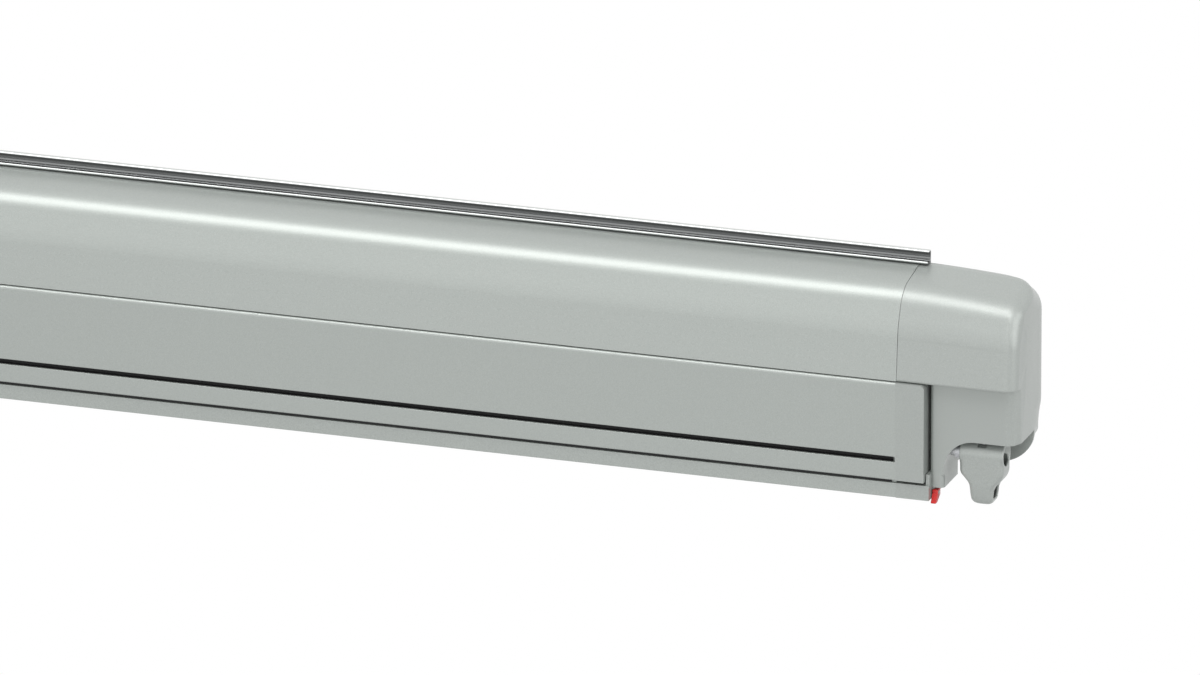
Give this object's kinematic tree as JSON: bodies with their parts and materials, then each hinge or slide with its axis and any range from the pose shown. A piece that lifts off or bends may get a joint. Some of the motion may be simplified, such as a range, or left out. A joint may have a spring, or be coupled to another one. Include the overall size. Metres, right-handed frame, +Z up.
{
  "type": "roll out awning",
  "caption": "Closed cassette awning with folding arms, fabric roller, worm winch, lead bar and fold-out support legs.",
  "frame": {"origin": "on the wall face, halfway along the awning, at the height of the parting line between cover and lead bar", "axes": "+X along the awning to the winch end, +Y into the wall, +Z up"},
  "size_m": [2.612, 0.088, 0.1557],
  "materials": {
    "titanium_paint": "satin",
    "titanium_plastic": "satin",
    "bare_aluminium": "satin",
    "cast_aluminium": "matt",
    "zinc_steel": "satin",
    "dark_plastic": "matt",
    "white_nylon": "matt",
    "brass": "satin",
    "awning_fabric": "matt",
    "red_plastic": "satin"
  },
  "bodies": {
    "case": {"case_profile": "titanium_paint", "gutter_rail": "bare_aluminium", "end_cap_right": "titanium_plastic", "end_cap_left": "titanium_plastic", "side_plate_right": "zinc_steel", "side_plate_left": "zinc_steel", "plate_screws": "zinc_steel", "roller_bearings": "white_nylon", "shoulder_bracket_right": "cast_aluminium", "shoulder_bracket_left": "cast_aluminium", "bracket_screws": "zinc_steel", "shoulder_pins": "zinc_steel", "gearbox_housing": "cast_aluminium", "hood_axle": "zinc_steel"},
    "roller": {"roller_tube": "zinc_steel", "roller_plug_right": "white_nylon", "roller_plug_left": "white_nylon", "fabric_roll": "awning_fabric", "worm_wheel": "brass"},
    "fabric_hem": {"fabric_hem_rod": "bare_aluminium", "fabric_sheet": "awning_fabric"},
    "worm": {"worm_shaft": "zinc_steel"},
    "hood": {"winch_hood": "titanium_plastic"},
    "crank_eye": {"crank_eye": "zinc_steel"},
    "lead_bar": {"lead_bar_profile": "titanium_paint", "lead_bar_cap_right": "titanium_plastic", "lead_bar_cap_left": "titanium_plastic", "lip_end_right": "titanium_plastic", "lip_end_left": "titanium_plastic", "hand_bracket_right": "cast_aluminium", "hand_bracket_left": "cast_aluminium", "hand_pins": "zinc_steel", "leg_brackets": "zinc_steel", "leg_pins": "zinc_steel"},
    "upper_arm_right": {"upper_arm_tube_right": "bare_aluminium", "shoulder_knuckle_right": "cast_aluminium", "elbow_fork_right": "cast_aluminium", "elbow_pin_right": "zinc_steel"},
    "forearm_right": {"forearm_tube_right": "bare_aluminium", "elbow_tongue_right": "cast_aluminium", "hand_knuckle_right": "cast_aluminium", "arm_spring_right": "zinc_steel"},
    "leg_right": {"leg_outer_right": "bare_aluminium"},
    "inner_leg_right": {"leg_inner_right": "bare_aluminium", "leg_foot_right": "dark_plastic"},
    "clamp_right": {"leg_clamp_right": "dark_plastic"},
    "release_right": {"release_lever_right": "red_plastic"},
    "upper_arm_left": {"upper_arm_tube_left": "bare_aluminium", "shoulder_knuckle_left": "cast_aluminium", "elbow_fork_left": "cast_aluminium", "elbow_pin_left": "zinc_steel"},
    "forearm_left": {"forearm_tube_left": "bare_aluminium", "elbow_tongue_left": "cast_aluminium", "hand_knuckle_left": "cast_aluminium", "arm_spring_left": "zinc_steel"},
    "leg_left": {"leg_outer_left": "bare_aluminium"},
    "inner_leg_left": {"leg_inner_left": "bare_aluminium", "leg_foot_left": "dark_plastic"},
    "clamp_left": {"leg_clamp_left": "dark_plastic"},
    "release_left": {"release_lever_left": "red_plastic"}
  },
  "joints": [
    {"name": "arm_unfold", "type": "hinge", "parent": "case", "child": "upper_arm_right", "pos_m": [1.198, -0.018, -0.024], "axis": [0, -0.1392, 0.9903], "range_deg": [0, 67]},
    {"name": "elbow_right", "type": "hinge", "parent": "upper_arm_right", "child": "forearm_right", "pos_m": [0.098, -0.03781, -0.02678], "axis": [0, -0.1392, 0.9903], "range_deg": [-134, 0]},
    {"name": "hand_right", "type": "hinge", "parent": "forearm_right", "child": "lead_bar", "pos_m": [1.198, -0.05761, -0.02957], "axis": [0, -0.1392, 0.9903], "range_deg": [0, 67]},
    {"name": "shoulder_left", "type": "hinge", "parent": "case", "child": "upper_arm_left", "pos_m": [-1.198, -0.018, -0.024], "axis": [0, 0.1392, -0.9903], "range_deg": [0, 67]},
    {"name": "elbow_left", "type": "hinge", "parent": "upper_arm_left", "child": "forearm_left", "pos_m": [-0.098, -0.03781, -0.02678], "axis": [0, 0.1392, -0.9903], "range_deg": [-134, 0]},
    {"name": "roller_turn", "type": "hinge", "parent": "case", "child": "roller", "pos_m": [0, -0.046, 0.021], "axis": [-1, 0, 0], "range_deg": [0, 4453.8]},
    {"name": "worm_turn", "type": "hinge", "parent": "case", "child": "worm", "pos_m": [1.2815, -0.069, 0.021], "axis": [0, 0, -1], "range_deg": [0, 31176.6]},
    {"name": "hood_swing", "type": "hinge", "parent": "case", "child": "hood", "pos_m": [1.2815, -0.069, -0.0474], "axis": [-1, 0, 0], "range_deg": [0, 30]},
    {"name": "eye_turn", "type": "hinge", "parent": "hood", "child": "crank_eye", "pos_m": [1.2815, -0.069, -0.0474], "axis": [0, 0, -1], "range_deg": [0, 31176.6]},
    {"name": "fabric_run", "type": "slide", "parent": "case", "child": "fabric_hem", "axis": [0, -0.9903, -0.1392], "range_m": [0, 2.0027], "deforming": ["fabric_sheet"]},
    {"name": "leg_swing_right", "type": "hinge", "parent": "lead_bar", "child": "leg_right", "pos_m": [1.212, -0.072, -0.0665], "axis": [0, -1, 0], "range_deg": [0, 90]},
    {"name": "leg_extend_right", "type": "slide", "parent": "leg_right", "child": "inner_leg_right", "axis": [-1, 0, 0], "range_m": [0, 1.002]},
    {"name": "clamp_turn_right", "type": "hinge", "parent": "leg_right", "child": "clamp_right", "pos_m": [0.064, -0.072, -0.0754], "axis": [0, -1, 0], "range_deg": [0, 60]},
    {"name": "release_press_right", "type": "hinge", "parent": "lead_bar", "child": "release_right", "pos_m": [1.252, -0.0765, -0.074], "axis": [-1, 0, 0], "range_deg": [0, 20], "stiffness_Nm_per_rad": 0.02},
    {"name": "leg_swing_left", "type": "hinge", "parent": "lead_bar", "child": "leg_left", "pos_m": [-1.212, -0.072, -0.0665], "axis": [0, 1, 0], "range_deg": [0, 90]},
    {"name": "leg_extend_left", "type": "slide", "parent": "leg_left", "child": "inner_leg_left", "axis": [1, 0, 0], "range_m": [0, 1.002]},
    {"name": "clamp_turn_left", "type": "hinge", "parent": "leg_left", "child": "clamp_left", "pos_m": [-0.064, -0.072, -0.0754], "axis": [0, 1, 0], "range_deg": [0, 60]},
    {"name": "release_press_left", "type": "hinge", "parent": "lead_bar", "child": "release_left", "pos_m": [-1.252, -0.0765, -0.074], "axis": [-1, 0, 0], "range_deg": [0, 20], "stiffness_Nm_per_rad": 0.02}
  ],
  "couplings": [
    {"joint": "elbow_right", "follows": "arm_unfold", "ratio": -2},
    {"joint": "hand_right", "follows": "arm_unfold", "ratio": 1},
    {"joint": "shoulder_left", "follows": "arm_unfold", "ratio": 1},
    {"joint": "elbow_left", "follows": "arm_unfold", "ratio": -2},
    {"joint": "roller_turn", "follows": "arm_unfold", "ratio": 66.445},
    {"joint": "worm_turn", "follows": "arm_unfold", "ratio": 465.11},
    {"joint": "eye_turn", "follows": "arm_unfold", "ratio": 465.11},
    {"joint": "fabric_run", "follows": "arm_unfold", "m_per_rad": 1.7109},
    {"joint": "leg_extend_right", "follows": "leg_swing_right", "m_per_rad": 0.63662},
    {"joint": "leg_extend_left", "follows": "leg_swing_left", "m_per_rad": 0.63662}
  ]
}
